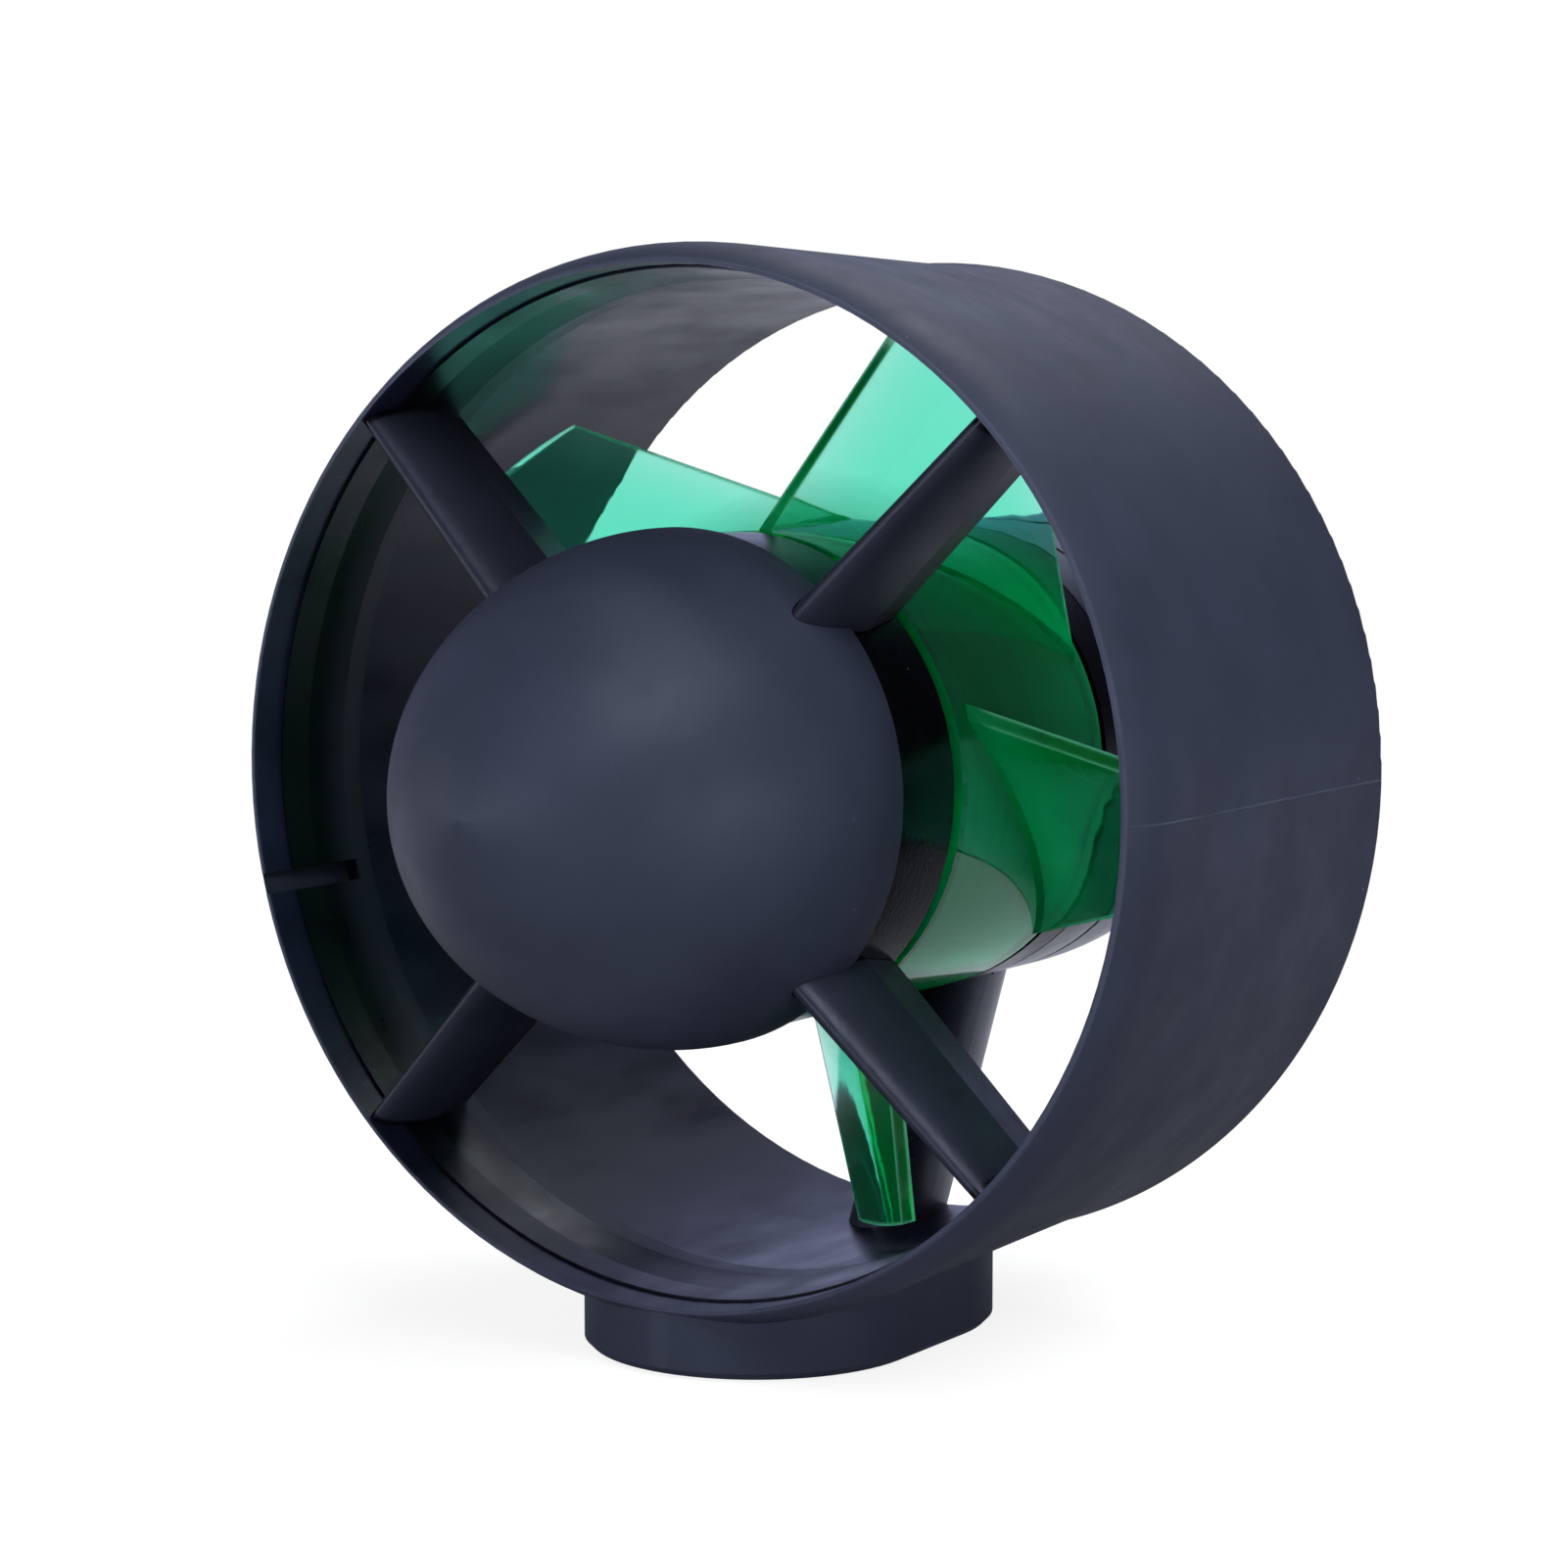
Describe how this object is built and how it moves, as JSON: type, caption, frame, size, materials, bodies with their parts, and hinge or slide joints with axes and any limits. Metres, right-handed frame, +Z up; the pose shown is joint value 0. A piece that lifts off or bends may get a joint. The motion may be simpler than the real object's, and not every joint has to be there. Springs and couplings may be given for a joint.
{
  "type": "underwater thruster",
  "caption": "Ducted underwater thruster: short duct on a flat mounting pad, nose cone on diagonal vanes, bladed propeller, and a rear motor pod on a swept strut.",
  "frame": {"origin": "centre of the mounting pad's underside, midway between the four threaded inserts", "axes": "+Z up out of the pad, -Y along the thrust line towards the nose cone, +X to the thruster's right seen from in front of the nose"},
  "size_m": [0.0766, 0.0897, 0.0799],
  "materials": {
    "duct_plastic": "matte moulded",
    "vane_plastic": "matte moulded",
    "nose_plastic": "matte moulded",
    "pod_plastic": "satin moulded",
    "band_plastic": "gloss moulded",
    "propeller_plastic": "translucent moulded",
    "bell_metal": "turned",
    "magnet_plating": "plated",
    "lamination_steel": "coated stack",
    "winding_copper": "enamelled wire",
    "shaft_steel": "ground",
    "screw_steel": "satin",
    "bearing_plastic": "satin moulded",
    "seal_rubber": "matte",
    "insert_brass": "turned, knurled"
  },
  "bodies": {
    "housing": {"duct_shell": "duct_plastic", "vane_unit": "vane_plastic", "nose_cone": "nose_plastic", "front_screws": "screw_steel", "bearing_housing": "band_plastic", "front_bushing": "bearing_plastic", "centre_bushing": "bearing_plastic", "rear_bushing": "bearing_plastic", "motor_base": "band_plastic", "motor_mount_screws": "screw_steel", "stator_core": "lamination_steel", "stator_windings": "winding_copper", "motor_pod": "pod_plastic", "tail_cone": "pod_plastic", "tail_seal": "seal_rubber", "mounting_inserts": "insert_brass", "cable_grommet": "seal_rubber"},
    "rotor": {"propeller": "propeller_plastic", "propeller_screws": "screw_steel", "motor_bell": "bell_metal", "bell_grub_screws": "screw_steel", "rotor_magnets": "magnet_plating", "shaft": "shaft_steel", "shaft_clip": "shaft_steel", "front_thrust_washer": "bearing_plastic", "rear_thrust_washer": "bearing_plastic"}
  },
  "joints": [
    {"name": "rotor_spin", "type": "hinge", "parent": "housing", "child": "rotor", "pos_m": [0, 0, 0.0416], "axis": [0, 1, 0], "continuous": true}
  ]
}
